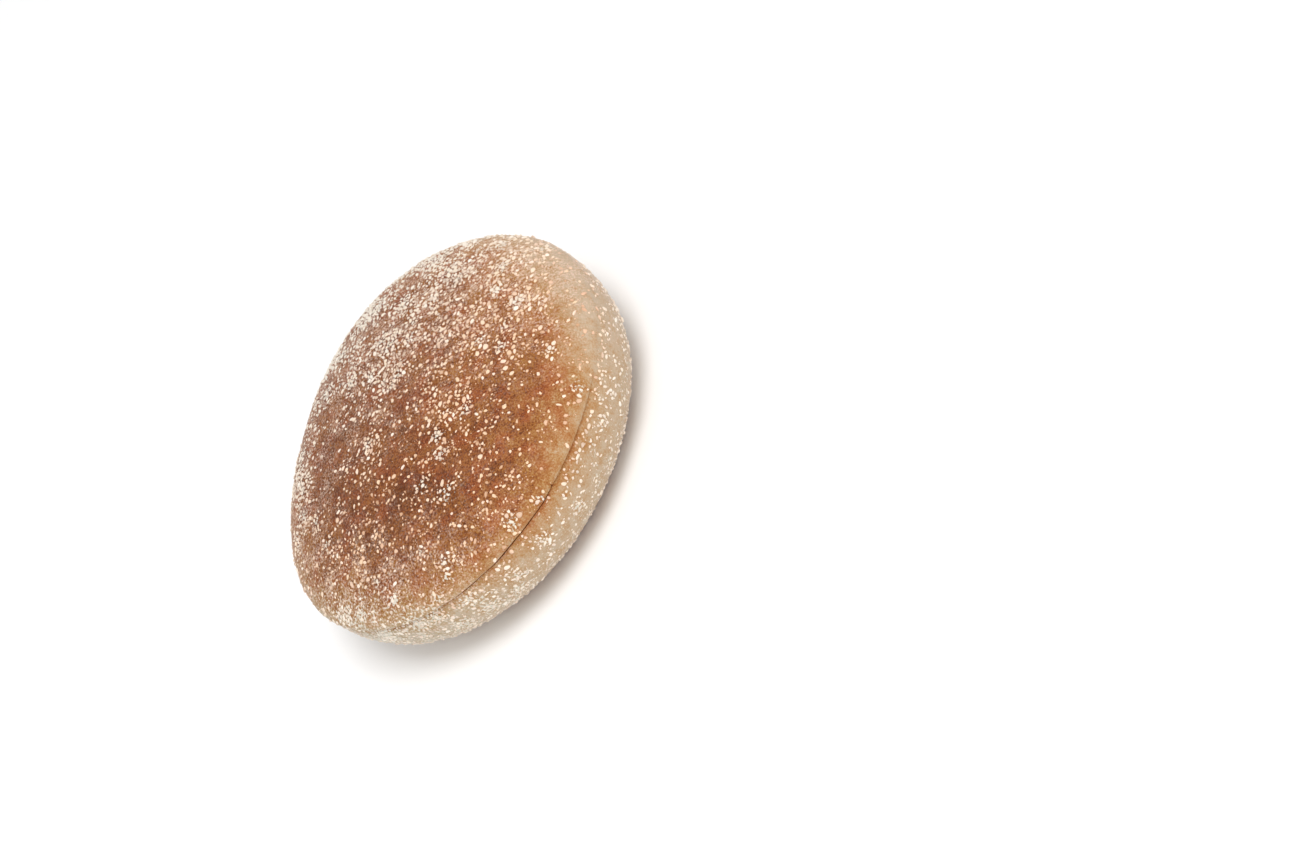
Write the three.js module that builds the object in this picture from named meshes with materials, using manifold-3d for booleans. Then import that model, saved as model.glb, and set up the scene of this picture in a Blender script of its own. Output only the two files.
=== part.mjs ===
// Hamburger bun: a low round roll of wheat bread with a domed crown and a flat base. A knife has
// slit part of its side, the two lips still closed on each other, and coarse corn grits stick
// to the crust. The bun is one piece of bread, so it is one solid.
//
// Millimetres, +Z up. The origin is the middle of the flat base, and the middle of the slit
// faces -Y. An azimuth is measured round the bun from -Y towards +X.
import * as THREE from "three";
import { mergeVertices } from "three/addons/utils/BufferGeometryUtils.js";
import Module from "manifold-3d";

const { degToRad, lerp } = THREE.MathUtils;

// Driving dimensions
const DIAMETER = 105;
const HEIGHT = 36.5;
const SLIT_HEIGHT = 22; // the bun is widest here
const SLIT_HALF_ANGLE = degToRad(73);
const SLIT_DEPTH = 8; // at its middle, running out to nothing at both ends
const SLIT_GAP = 0.5;

// Beside the slit both lips turn in: the upper one sharply, the lower one over a longer slope
const LIP_INSET = 1.1;
const UPPER_LIP_REACH = 0.8;
const LOWER_LIP_REACH = 3.5;

// Cross-section: two superellipse arcs that meet at the slit, the lower one cut off flat
const CROWN_ROUNDNESS = 1.9;
const HEEL_ROUNDNESS = 2.8;
const HEEL_ARC_HEIGHT = 27.5;

// A hand-shaped bun isn't quite round: lobes swell its outline by a share of the radius
const LOBES = [
  { count: 2, share: 0.01, azimuth: degToRad(4) },
  { count: 3, share: 0.018, azimuth: degToRad(81) },
  { count: 4, share: 0.009, azimuth: degToRad(24) },
];
const DENT_HEIGHT = 0.4; // soft dents and swells in the top
const DENT_SPACING = 58;

// Mesh density
const COLUMNS = 72;
const HEEL_ROWS = 11;
const CROWN_ROWS = 14;
const BASE_RINGS = 3;
const HEEL_CROWDING = 2; // rows crowd towards the slit, where the lips turn in
const CROWN_CROWDING = 1.6;

// Corn grits: angular chips, pressed half into the crust
const GRIT_COUNT = 440;
const GRIT_LENGTH = { smallest: 1.2, largest: 1.7 };
const GRIT_WIDTH_SHARE = { smallest: 0.7, largest: 0.95 };
const GRIT_HEIGHT_SHARE = 0.8;
const GRIT_SKEW = 0.22; // how far a chip's corners stray, as a share of its half length
const GRIT_JITTER = 1.6; // how far a chip strays from its even place
const GRIT_SLIT_CLEARANCE = 2.2;
const GRIT_BASE_CLEARANCE = 2;
const GRIT_SEED = 20;

const CRUST_COLOUR = 0xb5793f;
const CRUST_ROUGHNESS = 0.85;

const RADIUS = DIAMETER / 2;
const CROWN_HEIGHT = HEIGHT - SLIT_HEIGHT;
const QUARTER_TURN = Math.PI / 2;
const FULL_TURN = Math.PI * 2;
const GOLDEN_ANGLE = Math.PI * (3 - Math.sqrt(5));
const UP = new THREE.Vector3(0, 0, 1);

const wasm = await Module();
wasm.setup();

// A three.js geometry as a closed solid that can be cut and joined
function toSolid(geometry) {
  geometry.deleteAttribute("normal");
  geometry.deleteAttribute("uv");
  const merged = mergeVertices(geometry);
  const corners = merged.index.array;
  const triangles = [];
  for (let i = 0; i < corners.length; i += 3) {
    const [a, b, c] = corners.slice(i, i + 3);
    if (a !== b && b !== c && c !== a) triangles.push(a, b, c);
  }
  return new wasm.Manifold(
    new wasm.Mesh({
      numProp: 3,
      vertProperties: merged.attributes.position.array,
      triVerts: new Uint32Array(triangles),
    }),
  );
}

function toGeometry(solid) {
  const mesh = solid.getMesh();
  const geometry = new THREE.BufferGeometry();
  geometry.setAttribute("position", new THREE.BufferAttribute(mesh.vertProperties, mesh.numProp));
  geometry.setIndex(new THREE.BufferAttribute(mesh.triVerts, 1));
  geometry.computeVertexNormals();
  return geometry;
}

// Moves every vertex of a geometry by a function of its place
function bend(geometry, move) {
  const places = geometry.attributes.position;
  const point = new THREE.Vector3();
  for (let i = 0; i < places.count; i++) {
    move(point.fromBufferAttribute(places, i));
    places.setXYZ(i, point.x, point.y, point.z);
  }
  return geometry;
}

// One coordinate of a superellipse from the other, both as shares of their half axes
function superellipse(share, roundness) {
  return Math.max(0, 1 - share ** roundness) ** (1 / roundness);
}

// Cross-section from the middle of the base, out round the side and up to the top
function crossSection() {
  const points = [];
  const heelRadius = (depth) => RADIUS * superellipse(depth / HEEL_ARC_HEIGHT, HEEL_ROUNDNESS);
  for (let ring = 0; ring < BASE_RINGS; ring++) {
    points.push(new THREE.Vector2((heelRadius(SLIT_HEIGHT) * ring) / BASE_RINGS, 0));
  }
  for (let row = HEEL_ROWS; row >= 0; row--) {
    const depth = SLIT_HEIGHT * (row / HEEL_ROWS) ** HEEL_CROWDING;
    points.push(new THREE.Vector2(heelRadius(depth), SLIT_HEIGHT - depth));
  }
  for (let row = 1; row < CROWN_ROWS; row++) {
    const rise = Math.sin(QUARTER_TURN * (row / CROWN_ROWS) ** CROWN_CROWDING);
    const radius = RADIUS * superellipse(rise, CROWN_ROUNDNESS);
    points.push(new THREE.Vector2(radius, SLIT_HEIGHT + CROWN_HEIGHT * rise));
  }
  points.push(new THREE.Vector2(0, HEIGHT));
  return points;
}

// How far the slit has opened at an azimuth: 1 at its middle, 0 from its ends on
function slitShare(azimuth) {
  return Math.max(0, 1 - (azimuth / SLIT_HALF_ANGLE) ** 2);
}

function lipInset(azimuth, height) {
  const above = height - SLIT_HEIGHT;
  const reach = above > 0 ? UPPER_LIP_REACH : LOWER_LIP_REACH;
  return LIP_INSET * slitShare(azimuth) * Math.exp(-Math.abs(above) / reach);
}

function lobeFactor(azimuth) {
  const swell = (lobe) => lobe.share * Math.cos(lobe.count * (azimuth - lobe.azimuth));
  return LOBES.reduce((factor, lobe) => factor + swell(lobe), 1);
}

function dent(x, y) {
  const wave = FULL_TURN / DENT_SPACING;
  return DENT_HEIGHT * Math.sin(x * wave) * Math.cos(y * wave);
}

// Moves a point of an evenly turned bun to its place on the hand-shaped one
function shape(point) {
  const azimuth = Math.atan2(point.x, -point.y);
  const turned = Math.hypot(point.x, point.y);
  const inset = lipInset(azimuth, point.z) * (turned / RADIUS);
  const radius = Math.max(0, turned * lobeFactor(azimuth) - inset);
  point.x = radius * Math.sin(azimuth);
  point.y = -radius * Math.cos(azimuth);
  point.z += dent(point.x, point.y) * Math.max(0, (point.z - SLIT_HEIGHT) / CROWN_HEIGHT);
  return point;
}

function bread() {
  const turned = new THREE.LatheGeometry(crossSection(), COLUMNS);
  turned.rotateX(QUARTER_TURN);
  return toSolid(bend(turned, shape));
}

// The knife's cut: a thin crescent, deepest at the slit's middle
function slitCutter() {
  const outer = RADIUS * 1.1;
  const edge = RADIUS - SLIT_DEPTH;
  // The inner arc's circle passes through both ends of the slit and through its deepest point
  const endForward = RADIUS * Math.cos(SLIT_HALF_ANGLE);
  const centre = (RADIUS ** 2 - edge ** 2) / (2 * (edge - endForward));
  const inner = edge + centre;
  const innerHalfAngle = Math.asin((RADIUS * Math.sin(SLIT_HALF_ANGLE)) / inner);
  const crescent = new THREE.Shape();
  const front = -QUARTER_TURN;
  crescent.absarc(0, 0, outer, front - SLIT_HALF_ANGLE, front + SLIT_HALF_ANGLE, false);
  crescent.absarc(0, centre, inner, front + innerHalfAngle, front - innerHalfAngle, true);
  const blade = new THREE.ExtrudeGeometry(crescent, {
    depth: SLIT_GAP,
    bevelEnabled: false,
    curveSegments: COLUMNS / 3,
  });
  blade.translate(0, 0, SLIT_HEIGHT - SLIT_GAP / 2);
  return toSolid(blade);
}

// A small seeded generator, so that every run strews the same grits
function seededRandom(seed) {
  let state = seed;
  return () => {
    state = (state + 0x6d2b79f5) | 0;
    let mixed = Math.imul(state ^ (state >>> 15), state | 1);
    mixed ^= mixed + Math.imul(mixed ^ (mixed >>> 7), mixed | 61);
    return ((mixed ^ (mixed >>> 14)) >>> 0) / 2 ** 32;
  };
}

// Point of the crust at an azimuth, a whole or part number of rows along the cross-section
function crustPoint(section, row, azimuth) {
  const first = Math.min(Math.floor(row), section.length - 2);
  const { x: radius, y: height } = section[first].clone().lerp(section[first + 1], row - first);
  return shape(new THREE.Vector3(radius * Math.sin(azimuth), -radius * Math.cos(azimuth), height));
}

// Rows along the cross-section that split the bun's surface into equal areas
function evenRows(section, count) {
  const areas = [0];
  for (let i = 1; i < section.length; i++) {
    const width = section[i].distanceTo(section[i - 1]);
    areas.push(areas[i - 1] + width * (section[i].x + section[i - 1].x));
  }
  return Array.from({ length: count }, (_, i) => {
    const wanted = (areas.at(-1) * (i + 0.5)) / count;
    const next = areas.findIndex((area) => area >= wanted);
    return next - (areas[next] - wanted) / (areas[next] - areas[next - 1]);
  });
}

// Even places for the grits, a golden angle apart and each nudged a little, clear of base and slit
function gritPlaces(section, random) {
  const places = evenRows(section, GRIT_COUNT).map((row, i) => {
    const radius = Math.max(crustPoint(section, row, 0).length(), GRIT_JITTER);
    return { row, azimuth: i * GOLDEN_ANGLE + (GRIT_JITTER * (random() - 0.5)) / radius };
  });
  return places.filter(({ row, azimuth }) => {
    const height = crustPoint(section, row, azimuth).z;
    const offSlit = Math.abs(height - SLIT_HEIGHT) > GRIT_SLIT_CLEARANCE;
    return height > GRIT_BASE_CLEARANCE && offSlit;
  });
}

// The way the crust faces at a place on it
function crustFacing(section, { row, azimuth }) {
  const step = 0.01;
  const here = crustPoint(section, row, azimuth);
  const round = crustPoint(section, row, azimuth + step).sub(here);
  const up = crustPoint(section, row + step, azimuth).sub(here);
  return round.cross(up).normalize();
}

// A skewed octahedron that lies on one face, one unit from its middle to each corner
function chip(random) {
  const geometry = new THREE.OctahedronGeometry(1);
  const faceUp = new THREE.Vector3(1, 1, 1).normalize();
  geometry.applyQuaternion(new THREE.Quaternion().setFromUnitVectors(faceUp, UP));
  const skews = new Map();
  return bend(geometry, (corner) => {
    const key = corner.toArray().map((value) => value.toFixed(3)).join();
    if (!skews.has(key)) skews.set(key, [random() - 0.5, random() - 0.5]);
    const [skewX, skewY] = skews.get(key);
    corner.x += 2 * GRIT_SKEW * skewX;
    corner.y += 2 * GRIT_SKEW * skewY;
  });
}

const between = ({ smallest, largest }, random) => lerp(smallest, largest, random());

// One grit, its middle level with the crust
function grit(section, place, random) {
  const length = between(GRIT_LENGTH, random);
  const width = length * between(GRIT_WIDTH_SHARE, random);
  const chipHeight = 2 / Math.sqrt(3);
  const geometry = chip(random);
  geometry.scale(length / 2, width / 2, (width * GRIT_HEIGHT_SHARE) / chipHeight);
  geometry.rotateZ(FULL_TURN * random());
  const facing = crustFacing(section, place);
  geometry.applyQuaternion(new THREE.Quaternion().setFromUnitVectors(UP, facing));
  const { x, y, z } = crustPoint(section, place.row, place.azimuth);
  return toSolid(geometry.translate(x, y, z));
}

function bun() {
  const random = seededRandom(GRIT_SEED);
  const section = crossSection();
  const grits = gritPlaces(section, random).map((place) => grit(section, place, random));
  const solid = wasm.Manifold.union([bread().subtract(slitCutter()), ...grits]);
  const crust = new THREE.MeshStandardMaterial({
    color: CRUST_COLOUR,
    roughness: CRUST_ROUGHNESS,
    metalness: 0,
  });
  const mesh = new THREE.Mesh(toGeometry(solid), crust);
  mesh.name = "bun";
  return mesh;
}

const hamburgerBun = new THREE.Group();
hamburgerBun.add(bun());
export default hamburgerBun;
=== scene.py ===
"""Looks of a hamburger bun: a browned crust with a knife's slit, corn grits and flour on it.

Metres, +Z up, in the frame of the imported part: the origin is the middle of the base, and the
middle of the slit faces -Y. An azimuth is measured round the bun from -Y towards +X. The way along
the crust is measured from the slit, positive up the crown and negative down the heel.
"""
import math
from collections import namedtuple

import bmesh
import bpy
import numpy as np
from mathutils import Matrix, Vector, noise


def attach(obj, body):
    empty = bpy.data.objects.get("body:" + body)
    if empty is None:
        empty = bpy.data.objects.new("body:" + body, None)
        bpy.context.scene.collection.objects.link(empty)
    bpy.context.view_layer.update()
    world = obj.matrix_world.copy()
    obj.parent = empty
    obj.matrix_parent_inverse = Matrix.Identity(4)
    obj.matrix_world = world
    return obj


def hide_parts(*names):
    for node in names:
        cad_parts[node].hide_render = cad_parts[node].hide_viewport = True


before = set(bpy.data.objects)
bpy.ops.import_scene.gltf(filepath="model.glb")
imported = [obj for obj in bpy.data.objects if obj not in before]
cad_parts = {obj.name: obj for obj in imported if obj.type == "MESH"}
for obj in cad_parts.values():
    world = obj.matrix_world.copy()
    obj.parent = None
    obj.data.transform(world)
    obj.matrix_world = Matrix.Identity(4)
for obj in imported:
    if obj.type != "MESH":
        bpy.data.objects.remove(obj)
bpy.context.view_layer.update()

MM = 0.001
DEG = math.pi / 180
NOISE_STEP = (17.3, -9.1, 5.7)  # way from the noise of one seed to that of the next
TINY = 1e-15  # least length that normals are divided by

# Form of the bun, as the part's solid has it
RADIUS = 52.5 * MM
HEIGHT = 36.5 * MM
SLIT_HEIGHT = 22 * MM
CROWN_HEIGHT = HEIGHT - SLIT_HEIGHT
SLIT_HALF_ANGLE = 73 * DEG
SLIT_DEPTH = 8 * MM
CROWN_ROUNDNESS = 1.9
HEEL_ROUNDNESS = 2.8
HEEL_ARC_HEIGHT = 27.5 * MM
LOBES = [(2, 0.010, 4 * DEG), (3, 0.018, 81 * DEG), (4, 0.009, 24 * DEG)]  # count, share, azimuth
DENT_HEIGHT = 0.4 * MM
DENT_SPACING = 58 * MM

# Finer form that only shows close up
BASE_LIFT = 0.3 * MM  # the base rests on the grits that stick out of it
RELIEF = [(9 * MM, 0.16 * MM), (3.2 * MM, 0.06 * MM), (1.5 * MM, 0.03 * MM)]  # wavelength, height
UPPER_LIP_INSET = 0.45 * MM
UPPER_LIP_REACH = 0.5 * MM
LOWER_LIP_INSET = 1.1 * MM  # the crown overhangs the heel where the lips touch
GAPING_LIP_INSET = 0.7 * MM  # and less where they gape
LOWER_LIP_REACH = 2.8 * MM
LIP_FADE = 0.4  # the lips run almost to the slit's ends
LIPS_PART = (-22 * DEG, 6 * DEG)  # azimuths over which the lips part
LIPS_MEET = (36 * DEG, 52 * DEG)  # and those over which they meet again
CRACK_GAP = 0.46 * MM
HAIRLINE_GAP = 0.16 * MM  # where the lips touch
CRACK_UNEVENNESS = [(6 * MM, 0.6)]  # wavelength, share by which the gap grows and shrinks
CRACK_WOBBLES = [(9 * MM, 0.32 * MM), (2.8 * MM, 0.16 * MM)]  # wavelength, height
CRACK_REACH = 2 * MM  # how far from the slit the crack moves the crust
NICK_AZIMUTH = 41.5 * DEG  # a short crease across the upper lip
NICK_HALF_WIDTH = 0.2 * MM
NICK_DEPTH = 0.3 * MM
NICK_LENGTH = 2.4 * MM

# Mesh density of the crust
PROFILE_SAMPLES = 2000  # points of a profile, before its rows are spread along it
COLUMNS = 480
NICK_COLUMNS = 9  # further ones across the nick
NICK_SPAN = 2  # half widths of the nick to either side that these cover
BASE_ROWS = 14
HEEL_ROWS = 44
CROWN_ROWS = 92
ROW_CROWDING = 1.25  # rows crowd towards the slit
GROOVE_STEPS = (0.06, 0.25, 0.6, 1.0)  # shares of the slit's depth
WELD_DISTANCE = 0.002 * MM
SHARP_ANGLE = 50 * DEG

# A range says where a look sets in and where it is full, along the crust if nothing else is said
SIDE_RANGE = (-0.5 * RADIUS, 0.9 * RADIUS)  # across the bun, for looks that one side has

# Browning, from 0 for pale dough to 1 for dark crust: way along the crust in mm, level
BROWNING = [(-18, 0.0), (-8, 0.10), (-2, 0.34), (4, 0.64), (10, 0.76), (18, 0.85), (27, 0.89)]
BROWN_AZIMUTH = 30 * DEG  # here the brown comes closest to the slit, and elsewhere it keeps away
BROWN_SPREAD = 55 * DEG
BROWN_RETREAT = 3.8 * MM
# Where the crown's rim is palest: azimuth, its spread and how much farther the brown keeps away
PALE_RIMS = [
    (110 * DEG, 34 * DEG, 8.4 * MM),
    (0 * DEG, 24 * DEG, 2.8 * MM),
    (-46 * DEG, 22 * DEG, 1.6 * MM),
]
LIGHT_SIDE = 106 * DEG  # the crown is paler on this side
LIGHT_PALING = 0.14
LIGHT_RANGE = (-4 * MM, 4 * MM)
BASE_BROWNING = 0.5
BASE_BROWN_RANGE = (3 * MM, 0)  # heights
MOTTLES = [(22 * MM, 0.08), (8 * MM, 0.12)]  # wavelength, strength
MOTTLE_RANGE = (-10 * MM, 10 * MM)
CLUMP_PAINTED_SHADE = 0.12  # painted shade: the crust is darker between crowded grits, where they shade it
CREASE_REACH = 0.9 * MM  # how far the painted shade and highlight beside the slit reach
CREASE_PAINTED_SHADE = 0.36  # painted shade below the slit's edge where the lips touch
GAPING_PAINTED_SHADE = 0.12  # and the same painted shade, weaker, where they gape
LIP_PAINTED_HIGHLIGHT = 0.12  # painted highlight above the slit's edge, where the lip bulges
# painted shade in the nick across the upper lip
NICK_PAINTED_SHADE = 0.5
COOL_AZIMUTH = -32 * DEG  # a painted cool light from below makes the crust less orange towards the slit's hidden end
COOL_SPREAD = 42 * DEG
COOL_REACH = 18 * MM

# Flour: drifts and patches of specks, most on one side, at its rim and towards the slit's hidden end
FLOUR_DRIFTS = [(9 * MM, 1.0), (3 * MM, 0.6)]  # wavelength, strength
DRIFT_RANGE = (0.15, 0.65)  # of that noise
DRIFT_FLOUR = (0.1, 0.44)  # cover in drifts, where flour is scarce and where it is plentiful
CLUMP_FLOUR = (0.45, 0.57)  # the same in clumps
DUSTY_SIDE = 210 * DEG
DUSTY_PLENTY = 0.8
DUSTY_RIM_FLOUR = 0.19
DUSTY_RIM_REACH = 18 * MM
HEEL_FLOUR = 0.26
HEEL_FLOUR_RANGE = (-4 * MM, -14 * MM)
FLOURY_AZIMUTH = -32 * DEG  # towards the slit's hidden end
FLOURY_SPREAD = 32 * DEG
FLOURY_REACH = 12 * MM  # up the crown from the slit
FLOURY_DROP = 20 * MM  # down the heel
FLOURY_END_FLOUR = 0.44

# Dust that pales the crust, in patches; at parts of the rim it is partly a painted sheen
HAZY_SIDE = 185 * DEG  # the crown has more of it on this side
CROWN_HAZE = (0.03, 0.42)  # away from that side and on it
CROWN_HAZE_RANGE = (0, 9 * MM)
# Parts of the rim with more of it, partly dust and partly a painted sheen where the rim is seen
# edge-on: azimuth, its spread and strength
RIM_DUST_AND_SHEEN = [
    (122 * DEG, 32 * DEG, 0.32),
    (-80 * DEG, 45 * DEG, 0.36),
    (-20 * DEG, 36 * DEG, 0.28),
]
RIM_DUST_AND_SHEEN_REACH = 20 * MM
FLOURY_END_HAZE = 0.12
DUST_PATCH_SIZE = 5 * MM
DUST_PATCH_RANGE = (-0.35, 0.45)  # of the patches' noise
DUST_PATCH_SHARES = (0.5, 1.5)  # of the dust, between patches and in them

# Grits: grains of each kind, their smallest and largest size, their palest tone and mesh density
SEED = 7
GritKind = namedtuple("GritKind", "name count smallest largest palest subdivisions")
LARGER_GRITS = [
    GritKind("coarse_grits", 1480, 0.94 * MM, 1.42 * MM, 1.0, 2),
    GritKind("medium_grits", 2450, 0.72 * MM, 1.02 * MM, 0.92, 2),
    GritKind("small_grits", 2400, 0.48 * MM, 0.78 * MM, 0.75, 2),
]
FINE_GRITS = GritKind("fine_grits", 4500, 0.28 * MM, 0.5 * MM, 0.45, 1)
SIZE_SPREAD = (1.6, 3.6)  # of the beta distributions that sizes and tones are drawn from
TONE_SPREAD = (1.6, 2.0)
GRIT_STRETCH = [(0.92, 1.38), (0.64, 0.98), (0.45, 0.68)]  # length, width and height, in sizes
GRIT_SINK = 0.48  # share of a grain's height that is sunk in the crust
GRIT_SPACING = 0.92  # least distance of two grains, in sizes
GRIT_TRIES = 4  # places drawn for each grain, as some lie too close to others
CHIP_RADIUS = 1.1  # of the ball that a grain is cut from
CHIP_CUTS = 8  # planes that cut it
CHIP_REACH = (0.52, 0.98)  # their distances from its middle
CHIP_LEAST_FACING = 0.15  # planes that face a direction less than this don't cut there

# Where grits lie, and how floury they are
GRITTY_SIDE = 160 * DEG  # most grits lie on this side of the crown, and the largest
GRITTY_CROWDING = 1.4
GRITTY_RANGE = (-2 * MM, 6 * MM)
GRITTY_SWELL = 0.14
HEEL_CROWDING = 0.1
HEEL_CROWDING_RANGE = (-1 * MM, -5 * MM)
BASE_THINNING = 0.6
BASE_THIN_RANGE = (2 * MM, 0.5 * MM)  # heights
GRIT_DRIFTS = [(14 * MM, 0.9), (5 * MM, 1.7)]  # wavelength, strength
SLIT_CLEARANCE = 0.5 * MM
FINE_DENSITY = (0.7, 1.9)  # of the fine grains, outside the flour's drifts and in them
# Places with few grits: azimuth, its spread, way along the crust, its reach, strength
SPARSE_PLACES = [
    (-142 * DEG, 44 * DEG, 8 * MM, 14 * MM, 0.45),
    (75 * DEG, 58 * DEG, 0, 17 * MM, 0.85),
    (-102 * DEG, 34 * DEG, 28 * MM, 13 * MM, 0.85),
]
SPARSE_HEEL_SHARE = 0.3  # of that strength below the slit
CLUMPS = 90  # places where grits and flour crowd together
CLUMP_RADII = (0.9 * MM, 2.3 * MM)
CLUMP_SWELL = (0.8, 1.5)  # away from the dusty side and on it
CLUMP_CROWDING = 8
CLUMP_HEEL_SHARE = 0.8  # of that crowding below the slit
# The larger clumps: azimuth in degrees, way along the crust and radius in mm
PATCHES = [
    (156, 18, 3.6), (168, 11, 3.8), (140, 8, 3.0), (120, 20, 2.8), (68, 3, 2.0), (18, 23, 2.6),
    (164, 38, 2.6), (-90, 16, 2.6), (-14, -1, 3.2), (-28, -3, 2.6), (30, -6, 1.9), (18, -8, 1.6),
    (6, 9, 1.6), (4, 5, 1.4), (-2, 3, 1.5), (-16, 7, 1.6), (-8, -2, 2.8), (4, -4, 3.0),
    (40, -10, 1.8), (4, -9, 2.6), (-6, -9, 2.6), (12, -12, 2.2), (-78, 16, 2.4), (-68, 20, 2.0),
    (-54, 19, 2.0), (34, 36, 1.8), (148, 20, 2.6), (128, 14, 2.6), (106, 18, 2.2), (-144, 17, 2.6),
    (-136, 32, 2.2),
]
HEEL_GRIT_FLOUR = 0.75
HEEL_GRIT_RANGE = (1 * MM, -5 * MM)
DUSTY_GRIT_FLOUR = 0.95
FLOURY_END_GRIT_FLOUR = 0.9
CLUMP_GRIT_FLOUR = 0.8

# View of the photo: the camera's place round the bun, its roll, and where the bun's axis shows
PHOTO_SIZE = (1296, 864)
CAMERA_AZIMUTH = 40 * DEG
CAMERA_ELEVATION = 33.9 * DEG
CAMERA_ROLL = 60.1 * DEG
CAMERA_DISTANCE = 0.9
CAMERA_CLIP_START = 0.01
PIXELS_PER_METRE = 4145
AXIS_PIXEL = (440.0, 428.2)  # the axis at the slit's height
SENSOR_WIDTH = 36

# Floor and white surroundings
FLOOR_REACH = 6.0
BACKDROP_STRENGTH = 0.74


def smoothstep(low, high, value):
    """A smooth rise from 0 at low to 1 at high, which may also be the smaller of the two."""
    share = np.clip((value - low) / (high - low), 0, 1)
    return share * share * (3 - 2 * share)


def between(start, end, share):
    return start + (end - start) * share


def bell(away, reach):
    """1 where away is nothing, falling to nothing over a few reaches."""
    return np.exp(-((away / reach) ** 2))


def turn_from(middle, azimuth):
    """The turn from one azimuth to another, the short way round."""
    return (azimuth - middle + math.pi) % (2 * math.pi) - math.pi


def near(azimuth, middle, spread):
    """1 at the middle azimuth, falling to nothing a few spreads to either side."""
    return bell(turn_from(middle, azimuth), spread)


def noise_at(points, wavelength, seed):
    """Smooth noise of about -1 to 1 at each point, with bumps about a wavelength apart."""
    offset = Vector([seed * step for step in NOISE_STEP])
    scale = 1 / wavelength
    return np.array([noise.noise(Vector(p) * scale + offset) for p in points.tolist()])


def layered_noise(points, layers, seed):
    """The sum of noises, each with its wavelength and height, from the seed given onwards."""
    return sum(
        height * noise_at(points, wavelength, number)
        for number, (wavelength, height) in enumerate(layers, start=seed)
    )


def superellipse(share, roundness):
    return np.maximum(0, 1 - share**roundness) ** (1 / roundness)


# Shape of the bun


def heel_profile(rows):
    """Radii and heights from the slit down to the base."""
    depth = SLIT_HEIGHT * np.linspace(0, 1, PROFILE_SAMPLES)
    radius = RADIUS * superellipse(depth / HEEL_ARC_HEIGHT, HEEL_ROUNDNESS)
    return spread_rows(radius, SLIT_HEIGHT - depth, rows)


def crown_profile(rows):
    """Radii and heights from the slit up to the top."""
    rise = np.sin(np.linspace(0, math.pi / 2, PROFILE_SAMPLES))
    radius = RADIUS * superellipse(rise, CROWN_ROUNDNESS)
    return spread_rows(radius, SLIT_HEIGHT + CROWN_HEIGHT * rise, rows)


def lengths_along(radius, height):
    """The way along a profile from its start to each of its points."""
    steps = np.hypot(np.diff(radius), np.diff(height))
    return np.concatenate([[0], np.cumsum(steps)])


def spread_rows(radius, height, rows):
    """Radii and heights of rows along a profile, closer together towards its start."""
    length = lengths_along(radius, height)
    wanted = length[-1] * np.linspace(0, 1, rows + 1) ** ROW_CROWDING
    return np.interp(wanted, length, radius), np.interp(wanted, length, height)


def slit_share(azimuth):
    """1 at the middle of the slit, falling to nothing at its ends."""
    return np.maximum(0, 1 - (azimuth / SLIT_HALF_ANGLE) ** 2)


def lobe_factor(azimuth):
    swells = [share * np.cos(count * (azimuth - at)) for count, share, at in LOBES]
    return 1 + np.sum(swells, axis=0)


def gape(azimuth):
    """How far the slit's lips stand open, from 0 to 1."""
    return smoothstep(*LIPS_PART, azimuth) * (1 - smoothstep(*LIPS_MEET, azimuth))


def nick_share(azimuth, above):
    """1 in the middle of the nick at the slit, falling to nothing beside it and at its far end."""
    across = bell((azimuth - NICK_AZIMUTH) * RADIUS, NICK_HALF_WIDTH)
    return across * np.clip(1 - above / NICK_LENGTH, 0, 1)


def lip_inset(azimuth, height, crown):
    """How far the crust turns in at the slit: the crown in a tight curve, the heel in a wide one."""
    above = height - SLIT_HEIGHT
    lips = slit_share(azimuth) ** LIP_FADE
    lower = between(LOWER_LIP_INSET, GAPING_LIP_INSET, gape(azimuth))
    lower_curve = lower * np.exp(-np.abs(above) / LOWER_LIP_REACH)
    upper_curve = UPPER_LIP_INSET * np.exp(-np.abs(above) / UPPER_LIP_REACH)
    inset = lips * np.where(crown, upper_curve, lower_curve)
    return inset + NICK_DEPTH * nick_share(azimuth, above) * crown


def shaped(radius, height, azimuth, crown):
    """Points of the hand-shaped bun, from those of an evenly turned one."""
    inset = lip_inset(azimuth, height, crown) * radius / RADIUS
    radius = np.maximum(0, radius * lobe_factor(azimuth) - inset)
    x = radius * np.sin(azimuth)
    y = -radius * np.cos(azimuth)
    wave = 2 * math.pi / DENT_SPACING
    dent = DENT_HEIGHT * np.sin(x * wave) * np.cos(y * wave)
    z = height + dent * np.maximum(0, (height - SLIT_HEIGHT) / CROWN_HEIGHT)
    return np.stack([x, y, np.maximum(z, BASE_LIFT)], axis=-1)


def grid_normals(grid):
    """The way each point of a grid of rows and columns faces; the columns close into a ring."""
    along = np.gradient(grid, axis=0)
    around = np.roll(grid, -1, axis=1) - np.roll(grid, 1, axis=1)
    normals = np.cross(around, along)
    length = np.linalg.norm(normals, axis=-1, keepdims=True)
    normals = normals / np.maximum(length, TINY)
    normals[0] = (0, 0, -1)
    normals[-1] = (0, 0, 1)
    return normals


def slit_line(azimuth):
    """Points for noise along the slit, which is laid out straight."""
    return np.stack([azimuth * RADIUS, 0 * azimuth, 0 * azimuth], axis=-1)


def crack_gap(azimuth):
    gap = between(HAIRLINE_GAP, CRACK_GAP, gape(azimuth))
    gap = gap * (1 + layered_noise(slit_line(azimuth), CRACK_UNEVENNESS, seed=6))
    return gap * (slit_share(azimuth) > 0)


def crack_wobble(azimuth):
    return layered_noise(slit_line(azimuth), CRACK_WOBBLES, seed=3) * slit_share(azimuth)


def column_azimuths():
    even = np.linspace(-math.pi, math.pi, COLUMNS, endpoint=False)
    across = np.linspace(-NICK_SPAN, NICK_SPAN, NICK_COLUMNS)
    return np.unique(np.concatenate([even, NICK_AZIMUTH + across * NICK_HALF_WIDTH / RADIUS]))


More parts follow.
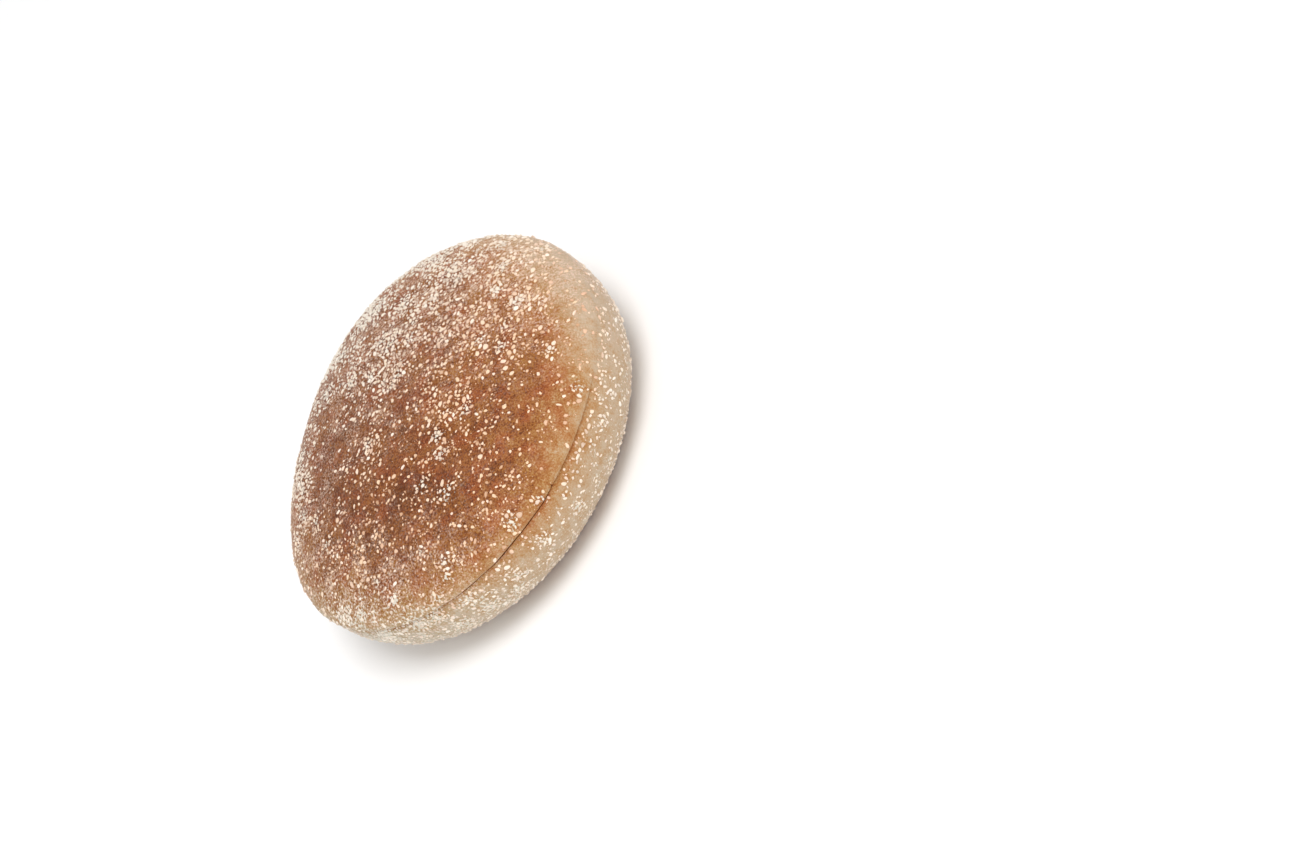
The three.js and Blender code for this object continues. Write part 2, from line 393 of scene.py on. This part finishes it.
class Crust:
    """The crust as rows of points from the middle of the base to the top; the slit has two rows."""

    def __init__(self):
        self.azimuth = column_azimuths()
        heel_radius, heel_height = (side[::-1] for side in heel_profile(HEEL_ROWS))
        crown_radius, crown_height = crown_profile(CROWN_ROWS)
        base_radius = heel_radius[0] * np.linspace(0, 1, BASE_ROWS, endpoint=False)
        radius = np.concatenate([base_radius, heel_radius, crown_radius])
        height = np.concatenate([0 * base_radius, heel_height, crown_height])
        self.upper_lip = len(radius) - len(crown_radius)
        self.lower_lip = self.upper_lip - 1
        self.turned_height = height
        length = lengths_along(radius, height)
        self.along = length - length[self.upper_lip]
        self.crown = np.arange(len(radius)) >= self.upper_lip
        grid = shaped(radius[:, None], height[:, None], self.azimuth[None], self.crown[:, None])
        self.grid = self.opened(self.relieved(grid))
        self.normals = grid_normals(self.grid)

    def relieved(self, grid):
        """The rows with the crust's low bumps; the two lips move as one, so that they stay joined."""
        normals = grid_normals(grid)
        lips = normals[self.lower_lip] + normals[self.upper_lip]
        lips /= np.linalg.norm(lips, axis=-1, keepdims=True)
        normals[[self.lower_lip, self.upper_lip]] = lips
        relief = layered_noise(grid.reshape(-1, 3), RELIEF, seed=0).reshape(grid.shape[:2])
        grid = grid + normals * relief[..., None]
        grid[..., 2] = np.maximum(grid[..., 2], BASE_LIFT / 2)
        return grid

    def opened(self, grid):
        """Moves the rows beside the slit apart by half of the crack's gap, and lets it wobble."""
        above = (self.turned_height - SLIT_HEIGHT)[:, None]
        fade = np.exp(-np.abs(above) / CRACK_REACH)
        half_gap = np.where(self.crown, 0.5, -0.5)[:, None] * crack_gap(self.azimuth)[None]
        grid[..., 2] += fade * (half_gap + crack_wobble(self.azimuth)[None])
        return grid

    def with_groove(self):
        """All rows with those inside the slit, their ways along the crust and depths in the slit."""
        lower, upper = self.grid[self.lower_lip], self.grid[self.upper_lip]
        middle = (lower + upper) / 2
        inward = np.stack([-np.sin(self.azimuth), np.cos(self.azimuth), 0 * self.azimuth], axis=-1)
        inward *= (SLIT_DEPTH * slit_share(self.azimuth))[:, None]
        under = [lower + (middle - lower) * k + inward * k for k in GROOVE_STEPS]
        over = [upper + (middle - upper) * k + inward * k for k in GROOVE_STEPS[:-1]]
        groove = np.array([*under, *over[::-1]])
        depths = np.array([*GROOVE_STEPS, *GROOVE_STEPS[-2::-1]])
        rows = np.insert(self.grid, self.upper_lip, groove, axis=0)
        along = np.insert(self.along, self.upper_lip, 0 * depths)
        inside = np.insert(0 * self.along, self.upper_lip, depths)
        return rows, along, inside[:, None] * (slit_share(self.azimuth) > 0)


def new_object(name, data):
    made = bpy.data.objects.new(name, data)
    bpy.context.scene.collection.objects.link(made)
    return made


def new_piece(name, points, faces, attributes, smooth):
    """A mesh that has one value of each attribute at every vertex."""
    mesh = bpy.data.meshes.new(name)
    mesh.from_pydata(points.tolist(), [], faces.tolist())
    for title, values in attributes.items():
        layer = mesh.attributes.new(title, "FLOAT", "POINT")
        layer.data.foreach_set("value", np.ascontiguousarray(values, np.float32).ravel())
    mesh.polygons.foreach_set("use_smooth", np.full(len(mesh.polygons), smooth))
    return new_object(name, mesh)


def weld(mesh):
    """Joins vertices that fall together: at the poles, and where the slit has run out."""
    work = bmesh.new()
    work.from_mesh(mesh)
    bmesh.ops.remove_doubles(work, verts=work.verts, dist=WELD_DISTANCE)
    work.to_mesh(mesh)
    work.free()


def ring_faces(rows, columns):
    """Quads between neighbouring rows, facing outwards."""
    row, column = np.meshgrid(np.arange(rows - 1), np.arange(columns), indexing="ij")
    after = (column + 1) % columns
    corners = [row * columns + column, row * columns + after]
    corners += [(row + 1) * columns + after, (row + 1) * columns + column]
    return np.stack(corners, axis=-1).reshape(-1, 4)


# How the crust is baked and floured, and where shade, highlight and cool light are painted on it


def side_level(points, azimuth):
    """From 0 on the opposite side of the bun to 1 at the rim on the side given."""
    towards = points[:, 0] * math.sin(azimuth) - points[:, 1] * math.cos(azimuth)
    return smoothstep(*SIDE_RANGE, towards)


def floury_end(along, azimuth):
    """1 towards the slit's hidden end, where much flour lies, falling to nothing around it."""
    reach = np.where(along > 0, FLOURY_REACH, FLOURY_DROP)
    return near(azimuth, FLOURY_AZIMUTH, FLOURY_SPREAD) * bell(along, reach)


def clump_level(points, clumps):
    """1 in the middle of each clump of grits and flour, falling to nothing around it."""
    level = np.zeros(len(points))
    for x, y, z, radius in clumps:
        away = np.linalg.norm(points - (x, y, z), axis=1)
        level = np.maximum(level, bell(away, radius))
    return level


def crease_shade_and_highlight(along, azimuth):
    """Painted shade below the slit's edge, most where the lips touch, and in the nick; a painted
    highlight above it.
    """
    lips = slit_share(azimuth) ** LIP_FADE
    beside = np.exp(-np.abs(along) / CREASE_REACH)
    below = between(CREASE_PAINTED_SHADE, GAPING_PAINTED_SHADE, gape(azimuth))
    edges = lips * beside * np.where(along > 0, -LIP_PAINTED_HIGHLIGHT, below)
    return edges + NICK_PAINTED_SHADE * nick_share(azimuth, along) * (along > 0)


def bake_and_shade_level(points, along, azimuth, clumps):
    """Browning from 0, pale dough, to 1, dark crust, by place on the bun and mottled; plus painted
    shade and highlight.
    """
    retreat = BROWN_RETREAT * (1 - near(azimuth, BROWN_AZIMUTH, BROWN_SPREAD))
    retreat += sum(further * near(azimuth, middle, spread) for middle, spread, further in PALE_RIMS)
    ways, levels = np.transpose(BROWNING)
    level = np.interp((along - retreat) / MM, ways, levels)
    level = np.maximum(level, BASE_BROWNING * smoothstep(*BASE_BROWN_RANGE, points[:, 2]))
    # Painted shade between crowded grits
    level += CLUMP_PAINTED_SHADE * clump_level(points, clumps)
    level -= LIGHT_PALING * side_level(points, LIGHT_SIDE) * smoothstep(*LIGHT_RANGE, along)
    mottle = layered_noise(points, MOTTLES, seed=11) * smoothstep(*MOTTLE_RANGE, along)
    # Painted shade below the slit's edge and in the nick, and a painted highlight above it
    return level + mottle + crease_shade_and_highlight(along, azimuth)


def painted_cool_light_level(along, azimuth):
    """1 towards the slit's hidden end, where a painted cool light from below makes the crust less
    orange, and nothing far from it.
    """
    return near(azimuth, COOL_AZIMUTH, COOL_SPREAD) * bell(along, COOL_REACH)


def dust_and_sheen_level(points, along, azimuth):
    """How much the crust is paled by fine dust, and at parts of its rim by a painted sheen."""
    crown = between(*CROWN_HAZE, side_level(points, HAZY_SIDE))
    crown = crown * smoothstep(*CROWN_HAZE_RANGE, along)
    # Rims seen edge-on are paled partly by a painted sheen
    rims = sum(strength * near(azimuth, middle, spread) for middle, spread, strength in RIM_DUST_AND_SHEEN)
    rims = rims * bell(along, RIM_DUST_AND_SHEEN_REACH)
    patches = smoothstep(*DUST_PATCH_RANGE, noise_at(points, DUST_PATCH_SIZE, seed=33))
    dust_and_sheen = crown + rims + FLOURY_END_HAZE * floury_end(along, azimuth)
    return dust_and_sheen * between(*DUST_PATCH_SHARES, patches)


def flour_drifts(points):
    """Where flour has drifted together, from 0 to 1."""
    return smoothstep(*DRIFT_RANGE, layered_noise(points, FLOUR_DRIFTS, seed=31))


def flour_level(points, along, azimuth, clumps):
    """Share of the crust that flour covers with specks."""
    heel = smoothstep(*HEEL_FLOUR_RANGE, along)
    dusty = side_level(points, DUSTY_SIDE)
    floury = floury_end(along, azimuth)
    plenty = np.maximum(np.maximum(DUSTY_PLENTY * dusty, heel), floury)
    drifts = between(*DRIFT_FLOUR, plenty) * flour_drifts(points)
    patches = between(*CLUMP_FLOUR, plenty) * clump_level(points, clumps)
    rim = DUSTY_RIM_FLOUR * dusty * bell(along, DUSTY_RIM_REACH)
    return HEEL_FLOUR * heel + FLOURY_END_FLOUR * floury + rim + np.maximum(drifts, patches)


# Where grits lie


def grit_density(points, along, azimuth):
    """How thickly grits lie: by place on the bun, in loose drifts and in small groups."""
    crown = smoothstep(*GRITTY_RANGE, along)
    heel = smoothstep(*HEEL_CROWDING_RANGE, along)
    thick = 1 + GRITTY_CROWDING * crown * side_level(points, GRITTY_SIDE) + HEEL_CROWDING * heel
    for middle, spread, way, reach, strength in SPARSE_PLACES:
        beside = bell(along - way, reach) * np.where(along > 0, 1, SPARSE_HEEL_SHARE)
        thick *= 1 - strength * beside * near(azimuth, middle, spread)
    thick *= 1 - BASE_THINNING * smoothstep(*BASE_THIN_RANGE, points[:, 2])
    return thick * np.exp(layered_noise(points, GRIT_DRIFTS, seed=21))


def grit_flour(points, along, azimuth, clumps):
    """How floury grits are: most in clumps, towards the slit's hidden end, on heel and dusty side."""
    shares = [
        HEEL_GRIT_FLOUR * smoothstep(*HEEL_GRIT_RANGE, along),
        DUSTY_GRIT_FLOUR * side_level(points, DUSTY_SIDE),
        FLOURY_END_GRIT_FLOUR * floury_end(along, azimuth),
        CLUMP_GRIT_FLOUR * clump_level(points, clumps),
    ]
    return np.max(shares, axis=0)


class Scatter:
    """The crust as small cells, on which places are drawn, thick or thin as a density says."""

    def __init__(self, crust, random):
        self.random = random
        grid = crust.grid
        after = np.roll(grid, -1, axis=1)
        corners = np.stack([grid[:-1], after[:-1], after[1:], grid[1:]], axis=2)
        self.corners = corners.reshape(-1, 4, 3)
        self.normals = crust.normals[:-1].reshape(-1, 3)
        one = self.corners[:, 2] - self.corners[:, 0]
        other = self.corners[:, 3] - self.corners[:, 1]
        self.area = np.linalg.norm(np.cross(one, other), axis=1) / 2
        self.middle = self.corners.mean(axis=1)
        self.along = np.repeat((crust.along[:-1] + crust.along[1:]) / 2, len(crust.azimuth))
        self.azimuth = np.arctan2(self.middle[:, 0], -self.middle[:, 1])
        clear = np.abs(self.along) > SLIT_CLEARANCE
        self.density = grit_density(self.middle, self.along, self.azimuth) * clear

    def places(self, count, density):
        """Points on the crust, and the numbers of the cells they lie in."""
        weight = self.area * density
        chosen = self.random.choice(len(weight), count, p=weight / weight.sum())
        u, v = self.random.random((2, count, 1))
        a, b, c, d = np.moveaxis(self.corners[chosen], 1, 0)
        return (a * (1 - u) + b * u) * (1 - v) + (d * (1 - u) + c * u) * v, chosen


def make_clumps(scatter, random):
    """Middles and radii of the places where grits and flour crowd together, small and large."""
    middles, _ = scatter.places(CLUMPS, scatter.density)
    swell = between(*CLUMP_SWELL, side_level(middles, DUSTY_SIDE))
    radii = random.uniform(*CLUMP_RADII, CLUMPS) * swell
    clumps = np.column_stack([middles, radii]).tolist()
    for place, way, radius in PATCHES:
        across = turn_from(place * DEG, scatter.azimuth) * RADIUS
        nearest = np.argmin(np.hypot(across, scatter.along - way * MM))
        clumps.append([*scatter.middle[nearest], radius * MM])
    return np.array(clumps)


def spaced(points, swell, sizes):
    """For each size in turn, the next of the points that lies clear of those taken before."""
    kept = []
    widths = np.zeros(len(sizes))
    for i, point in enumerate(points):
        if len(kept) == len(sizes):
            break
        widths[len(kept)] = sizes[len(kept)] * swell[i]
        away = np.linalg.norm(points[kept] - point, axis=1)
        if np.all(away > GRIT_SPACING * (widths[: len(kept)] + widths[len(kept)]) / 2):
            kept.append(i)
    return np.array(kept)


# Shape of the grains


def ball(subdivisions):
    """Vertices and triangles of a unit icosphere."""
    work = bmesh.new()
    bmesh.ops.create_icosphere(work, subdivisions=subdivisions, radius=1)
    points = np.array([v.co for v in work.verts])
    faces = np.array([[v.index for v in f.verts] for f in work.faces])
    work.free()
    return points, faces


def chips(directions, count, random):
    """Angular chips of about unit size: each is what a few random planes leave of a ball."""
    planes = random.normal(size=(count, CHIP_CUTS, 3))
    planes /= np.linalg.norm(planes, axis=2, keepdims=True)
    reach = random.uniform(*CHIP_REACH, (count, CHIP_CUTS, 1))
    facing = np.einsum("nkc,vc->nkv", planes, directions)
    cut = reach / np.maximum(facing, CHIP_LEAST_FACING)
    limit = np.where(facing > CHIP_LEAST_FACING, cut, CHIP_RADIUS)
    return directions[None] * np.minimum(limit.min(axis=1), CHIP_RADIUS)[..., None]


def turned(normals, random):
    """A frame for each grain: its third axis is the crust's normal, its first points any way."""
    any_way = random.normal(size=normals.shape)
    first = np.cross(any_way, normals)
    first /= np.linalg.norm(first, axis=1, keepdims=True)
    return np.stack([first, np.cross(normals, first), normals], axis=1)


def grains(kind, points, normals, floury, sizes, random):
    """One piece of many loose grains, each partly sunk in the crust."""
    count = len(points)
    directions, triangles = ball(kind.subdivisions)
    shapes = chips(directions, count, random)
    stretch = np.stack([random.uniform(*shares, count) for shares in GRIT_STRETCH], axis=-1)
    shapes = shapes * stretch[:, None] * sizes[:, None, None] / 2
    shapes = np.einsum("nvc,nck->nvk", shapes, turned(normals, random))
    half_height = sizes * stretch[:, 2] / 2
    middles = points + normals * (half_height * (1 - 2 * GRIT_SINK))[:, None]
    shapes = shapes + middles[:, None]
    # Grains that reach below the floor are lifted onto it
    below = np.minimum(shapes[..., 2].min(axis=1), 0)
    shapes[..., 2] -= below[:, None]
    faces = triangles[None] + (np.arange(count) * len(directions))[:, None, None]
    looks = {"tone": kind.palest * random.beta(*TONE_SPREAD, count), "floury": floury}
    looks = {title: np.repeat(values, len(directions)) for title, values in looks.items()}
    return new_piece(kind.name, shapes.reshape(-1, 3), faces.reshape(-1, 3), looks, smooth=False)


# Materials


def srgb(red, green, blue):
    """A colour given in everyday 0 to 255 values, as the linear one that shaders take."""
    shares = [value / 255 for value in (red, green, blue)]
    linear = [s / 12.92 if s <= 0.04045 else ((s + 0.055) / 1.055) ** 2.4 for s in shares]
    return (*linear, 1)


class Nodes:
    """Short ways to add and join the nodes of one material; spaces in names are underscores."""

    def __init__(self, name):
        self.material = bpy.data.materials.new(name)
        self.material.use_nodes = True
        self.tree = self.material.node_tree

    def put(self, socket, value):
        if isinstance(value, bpy.types.NodeSocket):
            self.tree.links.new(value, socket)
        else:
            socket.default_value = value

    def fill(self, node, inputs):
        for title, value in inputs.items():
            self.put(node.inputs[title.replace("_", " ")], value)
        return node

    def add(self, kind, **inputs):
        return self.fill(self.tree.nodes.new("ShaderNode" + kind), inputs)

    def shade(self, **inputs):
        self.fill(self.tree.nodes["Principled BSDF"], inputs)

    def attribute(self, title):
        node = self.add("Attribute")
        node.attribute_name = title
        return node.outputs["Fac"]

    def noise(self, wavelength, detail=2.0, roughness=0.5):
        place = self.add("TexCoord").outputs["Object"]
        looks = {"Scale": 1 / wavelength, "Detail": detail, "Roughness": roughness}
        return self.add("TexNoise", Vector=place, **looks).outputs["Fac"]

    def math(self, operation, first, second):
        node = self.add("Math")
        node.operation = operation
        self.put(node.inputs[0], first)
        self.put(node.inputs[1], second)
        return node.outputs["Value"]

    def stretch(self, value, source, target=(0.0, 1.0)):
        """The value, with the source range stretched to the target range and cut off at its ends."""
        node = self.add("MapRange", Value=value)
        self.fill(node, {"From_Min": source[0], "From_Max": source[1]})
        self.fill(node, {"To_Min": target[0], "To_Max": target[1]})
        return node.outputs["Result"]

    def ramp(self, value, stops):
        node = self.add("ValToRGB", Fac=value)
        elements = node.color_ramp.elements
        while len(elements) < len(stops):
            elements.new(0.5)
        for element, (position, colour) in zip(elements, stops):
            element.position = position
            element.color = colour
        return node.outputs["Color"]

    def mix(self, share, first, second, blend="MIX"):
        """Two colours mixed; their sockets go by number, as those of other types share the names."""
        node = self.add("Mix")
        node.data_type = "RGBA"
        node.blend_type = blend
        self.put(node.inputs["Factor"], share)
        self.put(node.inputs[6], first)
        self.put(node.inputs[7], second)
        return node.outputs[2]

    def bump(self, height, distance, **inputs):
        node = self.add("Bump", Height=height, Distance=distance, Strength=1.0, **inputs)
        return node.outputs["Normal"]


BAKED_COLOURS = [
    (0.00, srgb(183, 161, 136)),
    (0.14, srgb(178, 148, 115)),
    (0.30, srgb(169, 129, 87)),
    (0.42, srgb(161, 112, 66)),
    (0.52, srgb(153, 99, 52)),
    (0.70, srgb(138, 80, 37)),
    (0.84, srgb(121, 65, 30)),
    (1.00, srgb(88, 45, 22)),
]
CRUST_TINTS = [
    (0.38, (1.06, 0.89, 0.88, 1)),
    (0.5, (1.0, 1.0, 1.0, 1)),
    (0.62, (1.0, 1.03, 0.86, 1)),
]
# A painted cool light from below, as a tint
PAINTED_COOL_LIGHT_TINT = (0.92, 1.1, 1.24, 1)
HAZE_COLOUR = srgb(216, 188, 168)
SPECK_COLOUR = srgb(219, 217, 205)
# Brown inside the slit: partly the crust there, partly painted shade of the crack
SLIT_CRUST_AND_SHADE_COLOUR = srgb(186, 92, 18)
SLIT_COLOUR_DEPTH = 0.25  # share of the slit's depth over which its colour comes in
GRIT_COLOURS = [
    (0.0, srgb(192, 147, 109)),
    (0.25, srgb(220, 178, 147)),
    (0.5, srgb(232, 199, 163)),
    (0.75, srgb(242, 213, 190)),
    (1.0, srgb(249, 236, 221)),
]
FLOURY_GRIT_COLOUR = srgb(228, 228, 219)
FLOOR_COLOUR = (0.93, 0.93, 0.93, 1)

# Fine textures: their wavelengths, the part of the noise that shows, and how strongly it does
BROWNED = (0.25, 0.6)  # browning of pale crust and of browned crust
SPECKLE_SIZE = 0.45 * MM
SPECKLE_NOISE = (0.32, 0.68)
SPECKLE_CONTRAST = (0.15, 0.34)  # on pale crust and on browned crust
SPECKLE_RELIEF = 0.07 * MM
BLOTCH_SIZE = 2.6 * MM
BLOTCH_NOISE = (0.3, 0.7)
BLOTCH_CONTRAST = 0.12
BLOTCH_RELIEF = 0.14 * MM
TINT_SIZE = 5 * MM
DOT_SIZE = 0.6 * MM
DOT_NOISE = (0.48, 0.66)
DOT_GAIN = 4.0
DOT_MOST = 0.75
SPECK_SIZE = 0.6 * MM
SPECK_NOISE = (0.28, 0.72)
SPECK_EDGE = 0.3
SPECK_MOST = 0.75
GRAIN_SIZE = 0.35 * MM
GRAIN_NOISE = (0.3, 0.7)
GRAIN_RELIEF = 0.04 * MM


def crust_material():
    m = Nodes("crust")
    speckle = m.noise(SPECKLE_SIZE, detail=3, roughness=0.7)
    blotch = m.noise(BLOTCH_SIZE, detail=3)
    # Browning, which also holds painted shade and highlight
    bake_and_shade = m.attribute("bake_and_shade")
    # The crust is speckled where it is browned, and smoother where it is pale
    contrast = m.stretch(bake_and_shade, BROWNED, SPECKLE_CONTRAST)
    blotches = m.stretch(blotch, BLOTCH_NOISE, (-BLOTCH_CONTRAST, BLOTCH_CONTRAST))
    speckles = m.math("MULTIPLY", contrast, m.stretch(speckle, SPECKLE_NOISE, (-1.0, 1.0)))
    colour = m.ramp(m.math("ADD", m.math("ADD", bake_and_shade, blotches), speckles), BAKED_COLOURS)
    tint = m.ramp(m.noise(TINT_SIZE, detail=3), CRUST_TINTS)
    colour = m.mix(m.stretch(bake_and_shade, BROWNED), colour, tint, "MULTIPLY")
    # A painted cool light from below tints the crust towards the slit's hidden end
    colour = m.mix(m.attribute("cool"), colour, PAINTED_COOL_LIGHT_TINT, "MULTIPLY")
    # Dust, and at parts of the rim a painted sheen, pales the crust in fine dots
    dots = m.stretch(m.noise(DOT_SIZE, detail=4, roughness=0.8), DOT_NOISE, (0.0, DOT_GAIN))
    dust_and_sheen = m.math("MINIMUM", m.math("MULTIPLY", m.attribute("haze"), dots), DOT_MOST)
    colour = m.mix(dust_and_sheen, colour, HAZE_COLOUR)
    # Flour lies on it in larger specks, which grow together where there is much of it
    bare = m.math("SUBTRACT", 1.0, m.attribute("flour"))
    specks = m.stretch(m.noise(SPECK_SIZE, detail=1), SPECK_NOISE)
    flour = m.stretch(m.math("SUBTRACT", specks, bare), (0.0, SPECK_EDGE), (0.0, SPECK_MOST))
    colour = m.mix(flour, colour, SPECK_COLOUR)
    # The slit's walls turn brown, partly as painted shade of the crack
    colour = m.mix(m.stretch(m.attribute("inside"), (0.0, SLIT_COLOUR_DEPTH)), colour, SLIT_CRUST_AND_SHADE_COLOUR)
    m.shade(
        Base_Color=colour,
        Roughness=m.stretch(blotch, BLOTCH_NOISE, (0.62, 0.8)),
        Specular_IOR_Level=0.18,
        Sheen_Weight=0.2,
        Sheen_Roughness=0.22,
        Subsurface_Weight=0.08,
        Subsurface_Radius=(1.0, 0.5, 0.25),
        Subsurface_Scale=1.2 * MM,
        Normal=m.bump(blotch, BLOTCH_RELIEF, Normal=m.bump(speckle, SPECKLE_RELIEF)),
    )
    return m.material


def grit_material():
    m = Nodes("grit")
    tone = m.ramp(m.attribute("tone"), GRIT_COLOURS)
    grain = m.noise(GRAIN_SIZE)
    floury = m.math("MULTIPLY", m.attribute("floury"), m.stretch(grain, GRAIN_NOISE, (0.45, 1.0)))
    m.shade(
        Base_Color=m.mix(floury, tone, FLOURY_GRIT_COLOUR),
        Roughness=m.stretch(grain, GRAIN_NOISE, (0.45, 0.65)),
        Normal=m.bump(grain, GRAIN_RELIEF),
    )
    return m.material


def floor_material():
    m = Nodes("floor")
    m.shade(Base_Color=FLOOR_COLOUR, Roughness=0.8)
    return m.material


# Pieces


def make_crust(crust, clumps):
    rows, along, inside = crust.with_groove()
    points = rows.reshape(-1, 3)
    along = np.repeat(along, len(crust.azimuth))
    azimuth = np.tile(crust.azimuth, len(rows))
    looks = {
        "bake_and_shade": bake_and_shade_level(points, along, azimuth, clumps),
        "haze": dust_and_sheen_level(points, along, azimuth),
        "flour": flour_level(points, along, azimuth, clumps),
        "cool": painted_cool_light_level(along, azimuth),
        "inside": inside,
    }
    piece = new_piece("baked_crust", points, ring_faces(*rows.shape[:2]), looks, smooth=True)
    weld(piece.data)
    piece.data.set_sharp_from_angle(angle=SHARP_ANGLE)
    piece.data.materials.append(crust_material())
    return piece


def grit_sizes(kind, random):
    return between(kind.smallest, kind.largest, random.beta(*SIZE_SPREAD, kind.count))


def place_larger_grits(scatter, clumps, random):
    """Points, cells and sizes of each larger kind; all these grains keep clear of each other."""
    crowding = CLUMP_CROWDING * np.where(scatter.along > 0, 1, CLUMP_HEEL_SHARE)
    crowding = crowding * clump_level(scatter.middle, clumps)
    sizes = np.concatenate([grit_sizes(kind, random) for kind in LARGER_GRITS])
    points, cells = scatter.places(GRIT_TRIES * len(sizes), scatter.density * (1 + crowding))
    swell = 1 + GRITTY_SWELL * side_level(points, GRITTY_SIDE)
    taken = spaced(points, swell, sizes)
    ends = np.cumsum([kind.count for kind in LARGER_GRITS])[:-1]
    placed = [points[taken], cells[taken], sizes * swell[taken]]
    return list(zip(*[np.split(values, ends) for values in placed]))


def place_fine_grits(scatter, random):
    """Points, cells and sizes of the fine grains, which lie anywhere, most in the flour's drifts."""
    density = scatter.density * between(*FINE_DENSITY, flour_drifts(scatter.middle))
    points, cells = scatter.places(FINE_GRITS.count, density)
    return points, cells, grit_sizes(FINE_GRITS, random)


def make_grits(scatter, clumps, random):
    floury = grit_flour(scatter.middle, scatter.along, scatter.azimuth, clumps)
    placed = place_larger_grits(scatter, clumps, random)
    placed.append(place_fine_grits(scatter, random))
    material = grit_material()
    pieces = []
    for kind, (points, cells, sizes) in zip([*LARGER_GRITS, FINE_GRITS], placed):
        piece = grains(kind, points, scatter.normals[cells], floury[cells], sizes, random)
        piece.data.materials.append(material)
        pieces.append(piece)
    return pieces


# Stage


def make_floor():
    signs = [(-1, -1), (1, -1), (1, 1), (-1, 1)]
    mesh = bpy.data.meshes.new("floor")
    mesh.from_pydata([(x * FLOOR_REACH, y * FLOOR_REACH, 0) for x, y in signs], [], [(0, 1, 2, 3)])
    mesh.materials.append(floor_material())
    floor = new_object("floor", mesh)


def camera_axes():
    """The photo's right, up and backward directions, seen from the bun."""
    azimuth, elevation, roll = CAMERA_AZIMUTH, CAMERA_ELEVATION, CAMERA_ROLL
    right = Vector((math.cos(azimuth), math.sin(azimuth), 0))
    level = math.cos(elevation)
    back = Vector((math.sin(azimuth) * level, -math.cos(azimuth) * level, math.sin(elevation)))
    up = back.cross(right)
    photo_right = right * math.cos(roll) - up * math.sin(roll)
    photo_up = right * math.sin(roll) + up * math.cos(roll)
    return photo_right, photo_up, back


def make_camera():
    width, height = PHOTO_SIZE
    focal_pixels = PIXELS_PER_METRE * CAMERA_DISTANCE
    right, up, back = camera_axes()
    data = bpy.data.cameras.new("camera")
    data.sensor_width = SENSOR_WIDTH
    data.lens = SENSOR_WIDTH * focal_pixels / width
    data.clip_start = CAMERA_CLIP_START
    camera = new_object("camera", data)
    # Turned so that the axis shows at its pixel, and not in the middle of the picture
    seen = Vector((AXIS_PIXEL[0] - width / 2, height / 2 - AXIS_PIXEL[1], -focal_pixels))
    aim = seen.rotation_difference(Vector((0, 0, -1))).to_matrix()
    axes = Matrix((right, up, back)).transposed() @ aim
    place = Vector((0, 0, SLIT_HEIGHT)) + back * CAMERA_DISTANCE
    camera.matrix_world = Matrix.Translation(place) @ axes.to_4x4()
    bpy.context.scene.camera = camera


def area_light(name, towards, distance, size, power):
    """A round lamp that hangs some way off in the direction given, and shines at the bun."""
    data = bpy.data.lights.new(name, "AREA")
    data.shape = "DISK"
    data.size = size
    data.energy = power
    light = new_object(name, data)
    direction = towards.normalized()
    light.location = direction * distance
    light.rotation_mode = "QUATERNION"
    light.rotation_quaternion = direction.to_track_quat("Z", "Y")


def make_light():
    right, up, back = camera_axes()
    overhead = Vector((0, 0, 1))
    area_light("key", towards=overhead + back + up * 0.3, distance=1.4, size=0.7, power=10.5)
    area_light("fill", towards=back + right * 0.6, distance=1.6, size=1.4, power=4)
    area_light("low", towards=Vector((0.3, -1.0, 0.2)), distance=1.4, size=1.0, power=3)
    world = bpy.data.worlds.new("studio")
    world.use_nodes = True
    backdrop = world.node_tree.nodes["Background"]
    backdrop.inputs["Color"].default_value = (1, 1, 1, 1)
    backdrop.inputs["Strength"].default_value = BACKDROP_STRENGTH
    bpy.context.scene.world = world
    bpy.context.scene.view_settings.view_transform = "Standard"


def main():
    random = np.random.default_rng(SEED)
    crust = Crust()
    scatter = Scatter(crust, random)
    clumps = make_clumps(scatter, random)
    baked_crust = make_crust(crust, clumps)
    pieces = [baked_crust, *make_grits(scatter, clumps, random)]
    for piece in pieces:
        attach(piece, "root")
    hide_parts("bun")
    make_floor()
    make_camera()
    make_light()


main()
